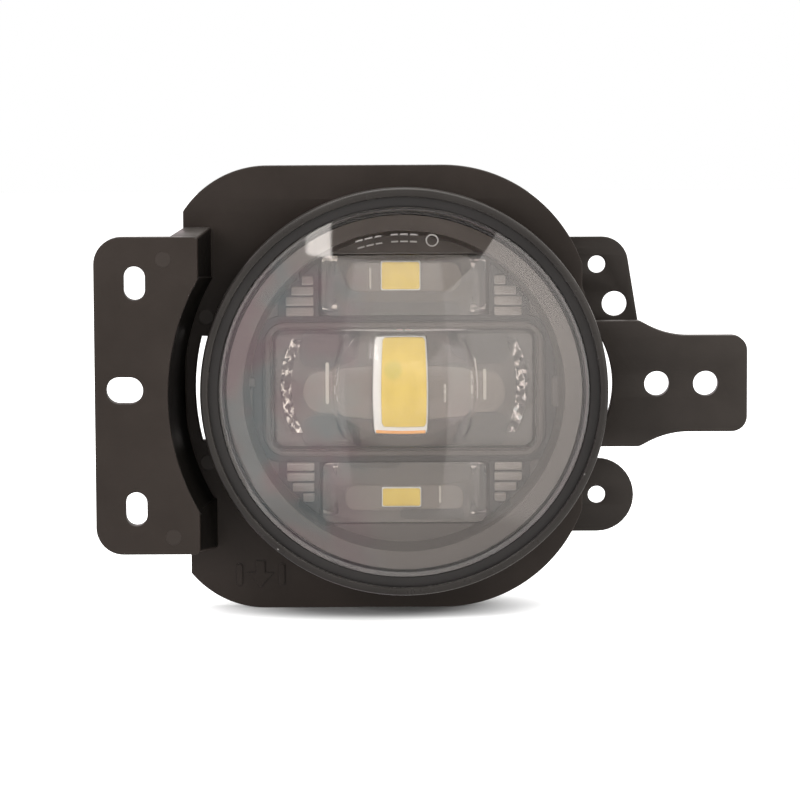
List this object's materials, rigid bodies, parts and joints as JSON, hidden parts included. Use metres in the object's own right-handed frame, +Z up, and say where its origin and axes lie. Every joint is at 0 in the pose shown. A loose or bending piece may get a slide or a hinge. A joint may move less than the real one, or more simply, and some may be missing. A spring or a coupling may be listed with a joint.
{
  "type": "fog light",
  "caption": "Round LED fog light with domed clear lens and finned body, tilting in a black bracket with a slotted pad, a bolt arm and ears.",
  "frame": {"origin": "on the lamp's optical axis, in the plane of the bracket plate's front face", "axes": "+Z up, the lamp shines along -Y, +X to the right as seen from the front"},
  "size_m": [0.1647, 0.0913, 0.1128],
  "materials": {
    "moulded_black": "fine-grained moulded nylon",
    "sheet_black": "satin black powder coat",
    "zinc_steel": "zinc plated",
    "nylon": "natural",
    "ring_black": "satin moulded",
    "lens_clear": "polished hard-coated polycarbonate",
    "seal_rubber": "matte",
    "trim_grey": "smoked satin grey",
    "optic_clear": "clear moulded silicone",
    "phosphor": "yellow phosphor on white ceramic",
    "board_white": "white solder mask",
    "heat_pad": "soft silicone",
    "wire_red": "insulated wire",
    "cast_body": "die-cast, black powder coat",
    "board_green": "green solder mask",
    "pin_brass": "tinned brass"
  },
  "bodies": {
    "bracket": {"mounting_plate": "moulded_black", "side_arm": "sheet_black", "ear_plate": "sheet_black", "stack_spacers": "zinc_steel", "stack_screws": "zinc_steel", "pivot_bushes": "nylon"},
    "lamp": {"bezel_ring": "ring_black", "lens": "lens_clear", "lens_seal": "seal_rubber", "inner_trim": "trim_grey", "centre_optic": "optic_clear", "upper_optic": "optic_clear", "lower_optic": "optic_clear", "centre_led": "phosphor", "upper_led": "phosphor", "lower_led": "phosphor", "led_board": "board_white", "board_screws": "zinc_steel", "thermal_pad": "heat_pad", "feed_wires": "wire_red", "lamp_housing": "cast_body", "driver_board": "board_green", "cover_seal": "seal_rubber", "rear_cover": "moulded_black", "cover_screws": "zinc_steel", "breather_plug": "seal_rubber", "connector_inlet": "moulded_black", "connector_pins": "pin_brass", "pivot_pins": "zinc_steel", "ball_socket": "nylon"},
    "adjuster_rod": {"adjuster_rod": "zinc_steel"},
    "adjuster_knob": {"adjuster_knob": "moulded_black", "knob_clip": "zinc_steel"}
  },
  "joints": [
    {"name": "lamp_tilt", "type": "hinge", "parent": "bracket", "child": "lamp", "pos_m": [0, 0.0135, 0], "axis": [1, 0, 0], "range_deg": [-3, 3]},
    {"name": "rod_slide", "type": "slide", "parent": "bracket", "child": "adjuster_rod", "axis": [0, 1, 0], "range_m": [-0.0026, 0.0026]},
    {"name": "knob_spin", "type": "hinge", "parent": "bracket", "child": "adjuster_knob", "pos_m": [0, 0.035, -0.048], "axis": [0, 1, 0], "range_deg": [-305, 305]}
  ],
  "couplings": [
    {"joint": "rod_slide", "follows": "lamp_tilt", "m_per_rad": 0.048},
    {"joint": "knob_spin", "follows": "lamp_tilt", "ratio": -100.53}
  ]
}
